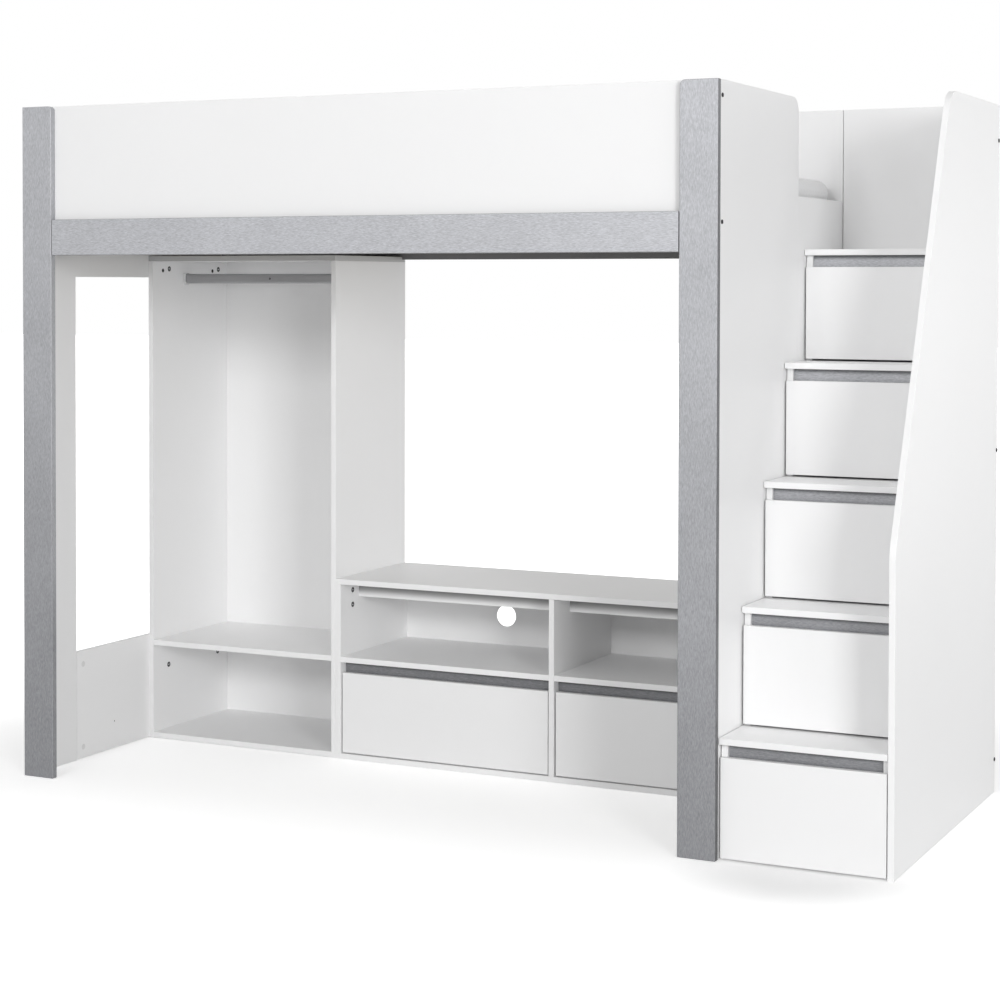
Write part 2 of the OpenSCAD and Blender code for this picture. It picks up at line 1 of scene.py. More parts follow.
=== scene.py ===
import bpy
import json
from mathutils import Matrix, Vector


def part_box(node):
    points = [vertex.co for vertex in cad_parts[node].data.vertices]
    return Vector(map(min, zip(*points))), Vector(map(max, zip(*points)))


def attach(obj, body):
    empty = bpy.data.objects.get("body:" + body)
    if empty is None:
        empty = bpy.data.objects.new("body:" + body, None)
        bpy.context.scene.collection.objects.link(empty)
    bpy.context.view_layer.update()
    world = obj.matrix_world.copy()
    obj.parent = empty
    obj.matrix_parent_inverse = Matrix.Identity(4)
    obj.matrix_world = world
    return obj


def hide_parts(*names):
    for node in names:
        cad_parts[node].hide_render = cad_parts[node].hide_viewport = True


bl_info = {
    "name": "High Sleeper Bed",
    "version": (1, 0, 0),
    "blender": (4, 5, 0),
    "location": "View3D > Sidebar > High Sleeper",
    "description": "Dresses the packed frame of a high sleeper bed and sets it in a plain studio",
    "category": "Object",
}

import json
import math

import bpy
from mathutils import Matrix, Vector

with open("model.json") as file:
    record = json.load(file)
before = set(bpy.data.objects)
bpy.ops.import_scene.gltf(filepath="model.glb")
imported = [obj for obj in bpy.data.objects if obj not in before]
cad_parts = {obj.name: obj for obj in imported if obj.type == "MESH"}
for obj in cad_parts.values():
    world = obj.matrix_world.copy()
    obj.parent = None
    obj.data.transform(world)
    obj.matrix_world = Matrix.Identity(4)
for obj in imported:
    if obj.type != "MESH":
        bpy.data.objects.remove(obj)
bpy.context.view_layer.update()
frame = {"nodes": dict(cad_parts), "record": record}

X, Y, Z = 0, 1, 2
DRAWERS = [f"stair_drawer_{k}" for k in range(1, 6)] + ["cabinet_drawer_left", "cabinet_drawer_right"]
STEP_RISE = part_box("stair_drawer_2_front")[0].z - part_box("stair_drawer_1_front")[0].z

# Merging of the CAD triangles: how close points lie, and how flat faces meet
MERGE_DISTANCE = 0.00002
FLAT_ANGLE = math.radians(1)
# Edges sharper than this are eased and stay sharp in the shading
SHARP_ANGLE = math.radians(35)
# A face looks along an axis when its normal has at least this share on it
FACING = 0.9

# Between which heights the foil's painted shade runs from dark to light, and how far below a crest the painted
# deep shadow reaches
FOIL_SHADE = (-0.3, 1.75)
GRIP_SHADE = (0, 0.014)
STRETCHER_SHADE = (0.016, 0.043)
# Colour of blackened metal where it is rubbed
WORN_METAL = (0.16, 0.16, 0.165, 1)


# Shader maths


class Value:
    """A number, colour or vector in a material. Numbers are added, multiplied and so on in plain Python."""

    def __init__(self, shader, socket):
        self.shader = shader
        self.socket = socket

    def _math(self, operation, *terms):
        return self.shader.value("ShaderNodeMath", {"operation": operation}, dict(enumerate(terms)))

    def __add__(self, other):
        return self._math("ADD", self, other)

    def __radd__(self, other):
        return self._math("ADD", other, self)

    def __sub__(self, other):
        return self._math("SUBTRACT", self, other)

    def __rsub__(self, other):
        return self._math("SUBTRACT", other, self)

    def __mul__(self, other):
        return self._math("MULTIPLY", self, other)

    def __rmul__(self, other):
        return self._math("MULTIPLY", other, self)

    def __pow__(self, other):
        return self._math("POWER", self, other)

    def __mod__(self, other):
        return self._math("FLOORED_MODULO", self, other)

    def sine(self):
        """The sine of this number, in radians."""
        return self._math("SINE", self)

    def over(self, low, high):
        """0 where this number is low or less, 1 where it is high or more, and smooth between."""
        return self.shader.value(
            "ShaderNodeMapRange",
            {"interpolation_type": "SMOOTHSTEP"},
            {"Value": self, "From Min": low, "From Max": high},
        )


class Shader:
    """A material in the making, whose patterns lie in the object's own coordinates, in metres."""

    def __init__(self, name):
        self.material = bpy.data.materials.new(name)
        self.material.use_nodes = True
        self.tree = self.material.node_tree
        self.tree.nodes.clear()
        self.place = self.value("ShaderNodeTexCoord", output="Object")

    def node(self, kind, settings=None, inputs=None):
        """A new node, with its settings and with its inputs linked or set."""
        made = self.tree.nodes.new(kind)
        for key, value in (settings or {}).items():
            setattr(made, key, value)
        for key, value in (inputs or {}).items():
            if isinstance(value, Value):
                self.tree.links.new(value.socket, made.inputs[key])
            else:
                made.inputs[key].default_value = value
        return made

    def value(self, kind, settings=None, inputs=None, output=0):
        """One output of a new node."""
        return Value(self, self.node(kind, settings, inputs).outputs[output])

    def stretched(self, scale):
        """The object's coordinates, scaled along each axis."""
        return self.value("ShaderNodeMapping", None, {"Vector": self.place, "Scale": scale})

    def grained(self, axis, across, length):
        """The object's coordinates, scaled for a grain that runs along one axis."""
        return self.stretched(tuple(length if i == axis else across for i in (X, Y, Z)))

    def noise(self, vector, scale=1.0, detail=2.0, roughness=0.5):
        """A cloudy pattern, mostly between 0.3 and 0.7."""
        return self.value(
            "ShaderNodeTexNoise", None,
            {"Vector": vector, "Scale": scale, "Detail": detail, "Roughness": roughness})

    def axes(self):
        """The object's x, y and z as three numbers."""
        split = self.node("ShaderNodeSeparateXYZ", None, {"Vector": self.place})
        return [Value(self, split.outputs[i]) for i in range(3)]

    def blend(self, share, first, second):
        """The first colour at a share of 0, the second at 1."""
        return self.value("ShaderNodeMix", {"data_type": "RGBA"}, {0: share, 6: first, 7: second}, output=2)

    def dimmed(self, colour, share):
        """A colour socket made lighter or darker by a share."""
        return self.value(
            "ShaderNodeMix", {"data_type": "RGBA", "blend_type": "MULTIPLY"},
            {0: 1.0, 6: colour, 7: (share, share, share, 1)}, output=2)

    def bump(self, height, strength, distance):
        """A normal that follows a height; the distance is the height of 1, in metres."""
        put = {"Height": height, "Strength": strength, "Distance": distance}
        return self.value("ShaderNodeBump", None, put)

    def finish(self, **sockets):
        """Ends the material with a principled shader whose sockets are named in small letters."""
        named = {key.replace("_", " ").title(): value for key, value in sockets.items()}
        surface = self.value("ShaderNodeBsdfPrincipled", None, named)
        self.node("ShaderNodeOutputMaterial", None, {"Surface": surface})
        return self.material


def tint(colour, share):
    """The same colour, lighter or darker by a share."""
    return (*[min(1.0, c * share) for c in colour[:3]], 1.0)


def coated_white(name, colour, gloss, crest=None):
    """White melamine: a fine pearl, a faint cloudiness and a satin shine. Below a crest it has a painted deep
    shade.
    """
    s = Shader(name)
    pearl = s.noise(s.place, 900, 2)
    cloud = s.noise(s.place, 2.2, 3)
    smear = s.noise(s.stretched((9, 9, 4)), 1, 4, 0.6)
    base = s.blend(cloud, tint(colour, 0.985), tint(colour, 1.01))
    # Painted shadow below the crest
    if crest is not None:
        below = crest - s.axes()[Z]
        base = s.blend(below.over(*STRETCHER_SHADE), s.dimmed(base, 0.3), base)
    return s.finish(
        base_color=base,
        roughness=gloss + 0.06 * pearl + 0.08 * smear,
        normal=s.bump(pearl, 0.09, 0.0002),
    )


def brushed_foil(name, colour, axis, foot=1.0, head=1.0, rise=0, crest=0):
    """Grey foil with fine brush strokes along one axis, with a painted shade that runs from its foot share at
    the bottom to its head share at the top.

    With a rise it has a painted shadow just below the crest and below every further crest, one rise apart, and
    a little painted light between them.
    """
    s = Shader(name)
    hair = s.noise(s.grained(axis, 1500, 140), 1, 3, 0.65)
    stroke = s.noise(s.grained(axis, 880, 100), 1, 3, 0.6)
    fleck = s.noise(s.grained(axis, 760, 280), 1, 1).over(0.58, 0.74)
    cloud = s.noise(s.place, 5, 3)
    grain = 0.4 * hair + 0.5 * stroke + 0.1 * cloud
    height = s.axes()[Z]
    # Painted shade: darker towards the bottom, lighter towards the top
    colour = s.blend(height.over(*FOIL_SHADE), tint(colour, foot), tint(colour, head))
    # Painted shadow just below each crest, and painted light between
    if rise:
        below = (crest - height) % rise
        colour = s.blend(below.over(*GRIP_SHADE), s.dimmed(colour, 0.4), s.dimmed(colour, 1.15))
    base = s.blend(grain.over(0.3, 0.7), s.dimmed(colour, 0.69), s.dimmed(colour, 1.31))
    base = s.blend(fleck * 0.12, base, s.dimmed(colour, 0.7))
    return s.finish(
        base_color=base,
        metallic=0.45,
        roughness=0.38 + 0.16 * grain,
        normal=s.bump(0.5 * hair + stroke, 0.16, 0.0003),
    )


def planed_wood(name, colour, axis):
    """Pale softwood with grain along one axis, darker late wood and fine pores."""
    s = Shader(name)
    body = s.noise(s.grained(axis, 38, 2.4), 1, 4, 0.55)
    rings = (body * 34).sine().over(-0.2, 0.95)
    pore = s.noise(s.grained(axis, 520, 16), 1, 2)
    broad = s.noise(s.place, 3, 2)
    base = s.blend(rings * 0.55, tint(colour, 1.12), tint(colour, 0.74))
    base = s.blend(broad.over(0.35, 0.7) * 0.3, base, tint(colour, 0.86))
    base = s.blend(pore.over(0.55, 0.8) * 0.35, base, tint(colour, 0.66))
    return s.finish(
        base_color=base,
        roughness=0.56 + 0.14 * pore,
        normal=s.bump(0.6 * rings + pore, 0.22, 0.0005),
    )


def painted_wood(name, colour, axis):
    """Dark grey paint on planed softwood: the grain shows through as shallow ridges."""
    s = Shader(name)
    ridge = s.noise(s.grained(axis, 260, 8), 1, 4, 0.6)
    cloud = s.noise(s.place, 16, 3)
    base = s.blend(0.5 * ridge + 0.5 * cloud, tint(colour, 0.85), tint(colour, 1.15))
    return s.finish(base_color=base, roughness=0.5 + 0.15 * ridge, normal=s.bump(ridge, 0.25, 0.0004))


def knitted_ticking(name, colour):
    """Mattress cover: rows of knit, a woven-in dot and soft pilling."""
    s = Shader(name)
    x, y, z = s.axes()
    rib = (x * 2100).sine() * (y * 2100 + z * 2100).sine()
    dot = (((x + z) * 260).sine() * ((y + z) * 260).sine()).over(0.35, 0.8)
    pile = s.noise(s.place, 420, 3)
    shade = s.noise(s.place, 4, 3)
    base = s.blend(dot * 0.35 + 0.2 * pile, tint(colour, 1.05), tint(colour, 0.93))
    base = s.blend(shade * 0.35, base, tint(colour, 0.95))
    return s.finish(
        base_color=base,
        roughness=0.86 + 0.1 * pile,
        sheen_weight=0.25,
        normal=s.bump(0.5 * rib + 0.8 * dot + pile, 0.35, 0.0006),
    )


def border_weave(name, colour):
    """Piping of the mattress: a close diagonal twill."""
    s = Shader(name)
    x, y, z = s.axes()
    twill = ((x + y) * 1500 + z * 1700).sine()
    fluff = s.noise(s.place, 600, 2)
    base = s.blend(twill.over(-0.6, 0.9), tint(colour, 0.8), tint(colour, 1.04))
    return s.finish(base_color=base, roughness=0.8 + 0.12 * fluff, normal=s.bump(twill + fluff, 0.3, 0.0004))


def satin_steel(name, colour):
    """Drawn steel tube: fine lines along it and a soft shine."""
    s = Shader(name)
    line = s.noise(s.stretched((12, 900, 900)), 1, 3, 0.6)
    haze = s.noise(s.place, 14, 3)
    base = s.blend(line, tint(colour, 0.85), tint(colour, 1.1))
    return s.finish(
        base_color=base,
        metallic=1.0,
        roughness=0.24 + 0.12 * line + 0.08 * haze,
        normal=s.bump(line, 0.08, 0.0002),
    )


def baked_enamel(name, colour):
    """Runner steel under white enamel, slightly wavy, with a few grey rub marks."""
    s = Shader(name)
    wave = s.noise(s.place, 130, 3)
    rub = s.noise(s.stretched((60, 5, 60)), 1, 4, 0.7).over(0.66, 0.8)
    base = s.blend(rub * 0.45, colour, tint(colour, 0.62))
    return s.finish(base_color=base, roughness=0.3 + 0.22 * rub, coat_weight=0.25 - 0.2 * rub,
                    normal=s.bump(wave, 0.12, 0.0004))


def moulded_plastic(name, colour, gloss):
    """Moulded plastic: an even colour with a fine grain."""
    s = Shader(name)
    grain = s.noise(s.place, 1300, 2)
    flow = s.noise(s.place, 60, 2)
    base = s.blend(flow, tint(colour, 0.96), tint(colour, 1.03))
    return s.finish(base_color=base, roughness=gloss + 0.08 * grain, normal=s.bump(grain, 0.12, 0.0002))


def black_oxide(name, colour):
    """Blackened metal, rubbed grey in spots."""
    s = Shader(name)
    grit = s.noise(s.place, 1500, 3)
    worn = s.noise(s.place, 260, 4, 0.7).over(0.6, 0.78)
    base = s.blend(worn * 0.4, colour, WORN_METAL)
    normal = s.bump(grit, 0.15, 0.0002)
    return s.finish(base_color=base, metallic=0.6, roughness=0.38 + 0.2 * grit, normal=normal)


def hardboard(name, colour):
    """White-faced hardboard of a drawer bottom, with a faint linen print in the face."""
    s = Shader(name)
    x, y, _ = s.axes()
    linen = (x * 3100).sine() * (y * 3100).sine()
    cloud = s.noise(s.place, 7, 4)
    base = s.blend(cloud, tint(colour, 0.95), tint(colour, 1.02))
    return s.finish(base_color=base, roughness=0.5 + 0.06 * cloud, normal=s.bump(linen, 0.1, 0.0003))


def raw_hardboard(name, colour):
    """Unfaced rear of a hardboard: matted brown fibres and darker specks."""
    s = Shader(name)
    fibre = s.noise(s.stretched((220, 220, 90)), 1, 5, 0.7)
    speck = s.noise(s.place, 480, 2).over(0.62, 0.74)
    cloud = s.noise(s.place, 6, 3)
    base = s.blend(0.7 * fibre + 0.3 * cloud, tint(colour, 0.75), tint(colour, 1.2))
    base = s.blend(speck * 0.5, base, tint(colour, 0.5))
    return s.finish(base_color=base, roughness=0.72 + 0.12 * fibre, normal=s.bump(fibre, 0.3, 0.0004))


def finish_named(finish):
    """The material of that finish, made when it is first asked for and named apart from the CAD materials."""
    name = "finish_" + finish
    made = bpy.data.materials.get(name)
    if made:
        return made
    f = bpy.context.scene.bed_finishes
    makers = {
        "white_face": lambda: coated_white(name, f.white, 0.34),
        # Inner boards take the brighter copy of the white, which is painted light
        "inner_face": lambda: coated_white(name, f.inner_white_painted_light, 0.34),
        # Painted shadow of the cabinet top on the upper part of the stretchers
        "stretcher_face": lambda: coated_white(name, f.inner_white_painted_light, 0.34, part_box("cabinet_stretchers")[1].z),
        "white_edge": lambda: coated_white(name, tint(f.white, 1.02), 0.27),
        # A darkened white edge: painted shade, the rail's shadow on the wardrobe top
        "grey_edge": lambda: coated_white(name, tint(f.white, 0.58), 0.27),
        "drawer_white": lambda: coated_white(name, f.drawer_white, 0.46),
        # Lit and shaded copies of one foil: their foot and head shares are painted light and shade
        "foil_x": lambda: brushed_foil(name, f.foil, X, 1.22, 1.25),
        "foil_z": lambda: brushed_foil(name, f.foil, Z, 0.76, 1.17),
        # Rims of the posts and rail: painted light on the left post's rim, painted shade on the right post's
        # and the rail's
        "foil_rim_pale": lambda: brushed_foil(name, f.foil, Z, 0.86, 1.05),
        "foil_rim": lambda: brushed_foil(name, f.foil, Z, 0.35, 0.55),
        # The grip rails are darker copies of the foil, in painted shade, with a painted shadow under each crest
        "foil_grip": lambda: brushed_foil(
            name, f.foil, X, 0.52, 0.52, rise=1, crest=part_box("cabinet_grip_rails")[1].z),
        "foil_step_grip": lambda: brushed_foil(
            name, f.foil, X, 0.56, 1.08, rise=STEP_RISE, crest=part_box("stair_grip_rails")[1].z),
        "slat_wood": lambda: planed_wood(name, f.wood, Y),
        "bearer_paint": lambda: painted_wood(name, f.bearer, X),
        "ticking": lambda: knitted_ticking(name, f.ticking),
        "border": lambda: border_weave(name, f.border),
        "rail_steel": lambda: satin_steel(name, f.steel),
        "runner_enamel": lambda: baked_enamel(name, f.enamel),
        "white_plastic": lambda: moulded_plastic(name, f.plastic, 0.36),
        "black_bolt": lambda: black_oxide(name, f.bolt),
        "cam_metal": lambda: black_oxide(name, f.cam),
        "drawer_bottom": lambda: hardboard(name, f.drawer_white),
        "back_rear": lambda: raw_hardboard(name, f.fibre),
    }
    return makers[finish]()


# Modelling helpers


def only(*objects):
    """Selects these objects and nothing else."""
    if bpy.context.mode != "OBJECT":
        bpy.ops.object.mode_set(mode="OBJECT")
    bpy.ops.object.select_all(action="DESELECT")
    for o in objects:
        o.select_set(True)
    bpy.context.view_layer.objects.active = objects[0]


def edit(piece, *steps):
    """Runs edit-mode steps on all of a piece's faces."""
    only(piece)
    bpy.ops.object.mode_set(mode="EDIT")
    bpy.ops.mesh.select_all(action="SELECT")
    for step in steps:
        step()
    bpy.ops.object.mode_set(mode="OBJECT")


def body_of(node):
    """The body that carries a CAD node."""
    return next(name for name, nodes in frame["record"]["behaviour"]["bodies"].items() if node in nodes)


def merged_copy(node, name):
    """A copy of a CAD node as a piece of its own, with its triangles merged into whole faces."""
    only(frame["nodes"][node])
    bpy.ops.object.duplicate()
    piece = bpy.context.active_object
    piece.name = piece.data.name = name
    for key in list(piece.keys()):
        del piece[key]
    piece.parent = None
    piece.data.materials.clear()
    bpy.ops.mesh.customdata_custom_splitnormals_clear()
    edit(
        piece,
        lambda: bpy.ops.mesh.remove_doubles(threshold=MERGE_DISTANCE),
        lambda: bpy.ops.mesh.dissolve_limited(angle_limit=FLAT_ANGLE),
    )
    return piece


def cuboid(name, size, place):
    """A block with its middle at a place, unturned and unscaled."""
    bpy.ops.object.select_all(action="DESELECT")
    bpy.ops.mesh.primitive_cube_add(size=1, location=place)
    piece = bpy.context.active_object
    piece.name = piece.data.name = name
    piece.scale = size
    bpy.ops.object.transform_apply(location=True, rotation=True, scale=True)
    return piece


def apply_modifier(piece, name, kind, **settings):
    """Adds a modifier to a piece and applies it."""
    modifier = piece.modifiers.new(name, kind)
    for key, value in settings.items():
        setattr(modifier, key, value)
    only(piece)
    bpy.ops.object.modifier_apply(modifier=modifier.name)


def ease(piece, width, segments=2):
    """Breaks the sharp edges and keeps the flat faces flat."""
    apply_modifier(piece, "Eased edges", "BEVEL", width=width, segments=segments, limit_method="ANGLE",
                   angle_limit=SHARP_ANGLE)
    only(piece)
    bpy.ops.object.shade_smooth_by_angle(angle=SHARP_ANGLE)
    apply_modifier(piece, "Flat faces", "WEIGHTED_NORMAL", keep_sharp=True, weight=100)


def dress_board(node, face, edge, thickness_axis, width, segments=2):
    """An eased copy of a board node: one finish on its two faces, and another on its banded edges."""
    piece = merged_copy(node, "dressed_" + node)
    ease(piece, width, segments)
    piece.data.materials.append(finish_named(face))
    piece.data.materials.append(finish_named(edge))
    for polygon in piece.data.polygons:
        polygon.material_index = 0 if abs(polygon.normal[thickness_axis]) > FACING else 1
    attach(piece, body_of(node))
    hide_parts(node)
    return piece


def white_board(node, thickness_axis, face="white_face", edge="white_edge"):
    """An eased copy of a white board."""
    width = bpy.context.scene.bed_edges.white_edge
    return dress_board(node, face, edge, thickness_axis, width)


def thin_back(node):
    """A thin back board: white to the front, bare hardboard to the rear."""
    piece = white_board(node, Y, "inner_face")
    piece.data.materials.append(finish_named("back_rear"))
    for polygon in piece.data.polygons:
        if polygon.normal.y > FACING:
            polygon.material_index = 2


def paint(node, material):
    """Gives a carried-over CAD node its finish."""
    piece = frame["nodes"][node]
    piece.data.materials.clear()
    piece.data.materials.append(finish_named(material))


# Sizes and colours


class BedFinishes(bpy.types.PropertyGroup):
    """Colours of the bed."""

    white: bpy.props.FloatVectorProperty(
        name="White board", description="Outer boards and drawer fronts", subtype="COLOR", size=4,
        default=(0.9, 0.9, 0.902, 1), min=0, max=1)
    # A brighter copy of the white board: painted light that lifts the inner boards
    inner_white_painted_light: bpy.props.FloatVectorProperty(
        name="Inner white board", description="Boards of the wardrobe, the cabinet and the treads",
        subtype="COLOR", size=4, default=(0.95, 0.95, 0.952, 1), min=0, max=1)
    drawer_white: bpy.props.FloatVectorProperty(
        name="Drawer boxes", description="Sides, backs and bottoms of the drawers", subtype="COLOR", size=4,
        default=(0.86, 0.86, 0.85, 1), min=0, max=1)
    foil: bpy.props.FloatVectorProperty(
        name="Grey foil", description="Posts, front rail and grip rails", subtype="COLOR", size=4,
        default=(0.4, 0.405, 0.425, 1), min=0, max=1)
    wood: bpy.props.FloatVectorProperty(
        name="Slat wood", description="Slats of the deck", subtype="COLOR", size=4,
        default=(0.64, 0.6, 0.53, 1), min=0, max=1)
    bearer: bpy.props.FloatVectorProperty(
        name="Bearers", description="Paint of the bearers under the slats", subtype="COLOR", size=4,
        default=(0.18, 0.18, 0.185, 1), min=0, max=1)
    fibre: bpy.props.FloatVectorProperty(
        name="Hardboard", description="Unfaced rear of the back boards", subtype="COLOR", size=4,
        default=(0.4, 0.29, 0.19, 1), min=0, max=1)
    ticking: bpy.props.FloatVectorProperty(
        name="Mattress cover", description="Cover of the mattress", subtype="COLOR", size=4,
        default=(0.79, 0.79, 0.795, 1), min=0, max=1)
    border: bpy.props.FloatVectorProperty(
        name="Mattress piping", description="Piping round the mattress", subtype="COLOR", size=4,
        default=(0.62, 0.63, 0.655, 1), min=0, max=1)
    steel: bpy.props.FloatVectorProperty(
        name="Hanging rail", description="Steel of the hanging rail", subtype="COLOR", size=4,
        default=(0.42, 0.42, 0.43, 1), min=0, max=1)
    enamel: bpy.props.FloatVectorProperty(
        name="Runners", description="Enamel of the drawer runners", subtype="COLOR", size=4,
        default=(0.76, 0.76, 0.75, 1), min=0, max=1)
    plastic: bpy.props.FloatVectorProperty(
        name="White plastic", description="Sockets of the hanging rail and cover caps", subtype="COLOR", size=4,
        default=(0.8, 0.8, 0.8, 1), min=0, max=1)
    bolt: bpy.props.FloatVectorProperty(
        name="Bolts", description="Heads of the bolts", subtype="COLOR", size=4,
        default=(0.02, 0.02, 0.022, 1), min=0, max=1)
    # Near-black: partly the fittings' own dark finish, partly painted shade; it also gives the dowel hole its
    # painted shade
    cam: bpy.props.FloatVectorProperty(
        name="Cam fittings", description="Metal of the cam fittings and pins", subtype="COLOR", size=4,
        default=(0.05, 0.05, 0.052, 1), min=0, max=1)


class BedEdges(bpy.types.PropertyGroup):
    """How far the edges of the boards are eased."""

    white_edge: bpy.props.FloatProperty(
        name="White boards", description="Easing of the banded edges", unit="LENGTH", default=0.0009,
        min=0.0002, max=0.003)
    foil_edge: bpy.props.FloatProperty(
        name="Foil boards", description="Easing of the posts and the front rail", unit="LENGTH", default=0.0016,
        min=0.0002, max=0.004)
    wood_edge: bpy.props.FloatProperty(
        name="Bearers", description="Easing of the bearers", unit="LENGTH", default=0.0015,
        min=0.0002, max=0.004)


class BedMattress(bpy.types.PropertyGroup):
    """Quilting of the mattress."""

    cell: bpy.props.FloatProperty(
        name="Quilt cell", description="Distance between two quilting seams", unit="LENGTH", default=0.105,
        min=0.04, max=0.3)
    depth: bpy.props.FloatProperty(
        name="Quilt depth", description="Depth of a quilting seam", unit="LENGTH", default=0.005, min=0.001,
        max=0.012)
    piping: bpy.props.FloatProperty(
        name="Piping", description="Radius of the piping", unit="LENGTH", default=0.0028, min=0.001, max=0.006)


class BedStudio(bpy.types.PropertyGroup):
    """Camera and light."""

    lens: bpy.props.FloatProperty(
        name="Lens", description="Focal length of the camera", unit="CAMERA", default=78.06, min=20, max=200)
    key: bpy.props.FloatProperty(
        name="Key light", description="Power of the far light at the front right", default=440, min=0, max=4000)
    high: bpy.props.FloatProperty(
        name="High light", description="Power of the raised light at the front right", default=67,
        min=0, max=4000)
    front: bpy.props.FloatProperty(
        name="Front light", description="Power of the raised light in front", default=272, min=0, max=4000)
    left: bpy.props.FloatProperty(
        name="Left light", description="Power of the raised light at the front left", default=50,
        min=0, max=4000)
    side: bpy.props.FloatProperty(
        name="Side light", description="Power of the light beside the staircase", default=56, min=0, max=4000)
    rear: bpy.props.FloatProperty(
        name="Rear light", description="Power of the light behind the staircase", default=86, min=0, max=4000)
    sky: bpy.props.FloatProperty(
        name="Room", description="Strength of the even light of the room", default=0.45, min=0, max=2)
    floor_lift: bpy.props.FloatProperty(
        name="Floor lift", description="How far the floor is lifted towards white for the camera", default=0.52,
        min=0, max=1)


# Pieces


class BED_OT_frame(bpy.types.Operator):
    """White boards of the bed: guards, ends and sill"""

    bl_idname = "bed.frame"
    bl_label = "Bed frame"

    def execute(self, context):
        for node, axis in {
            "front_guard_panel": Y, "back_guard_panel": Y, "left_end_panel": X, "right_end_panel": X,
            "right_end_sill_panel": X,
        }.items():
            white_board(node, axis)
        white_board("left_end_low_board", X, "inner_face")
        return {"FINISHED"}


class BED_OT_foil(bpy.types.Operator):
    """Posts, front rail and grip rails in grey foil"""

    bl_idname = "bed.foil"
    bl_label = "Grey foil boards"

    def execute(self, context):
        width = context.scene.bed_edges.foil_edge
        # Each board gets a lit or shaded copy of the foil, which is painted light and shade
        for node, face, rim in (
            ("front_post_left", "foil_z", "foil_rim_pale"),
            ("front_post_right", "foil_z", "foil_rim"),
            ("front_rail", "foil_x", "foil_rim"),
            ("cabinet_grip_rails", "foil_grip", "foil_grip"),
            ("stair_grip_rails", "foil_step_grip", "foil_step_grip"),
        ):
            dress_board(node, face, rim, Y, width, 3)
        return {"FINISHED"}


class BED_OT_deck(bpy.types.Operator):
    """Slats and their bearers"""

    bl_idname = "bed.deck"
    bl_label = "Deck"

    def execute(self, context):
        paint("bed_slats", "slat_wood")
        width = context.scene.bed_edges.wood_edge
        dress_board("deck_bearers", "bearer_paint", "bearer_paint", Z, width)
        return {"FINISHED"}


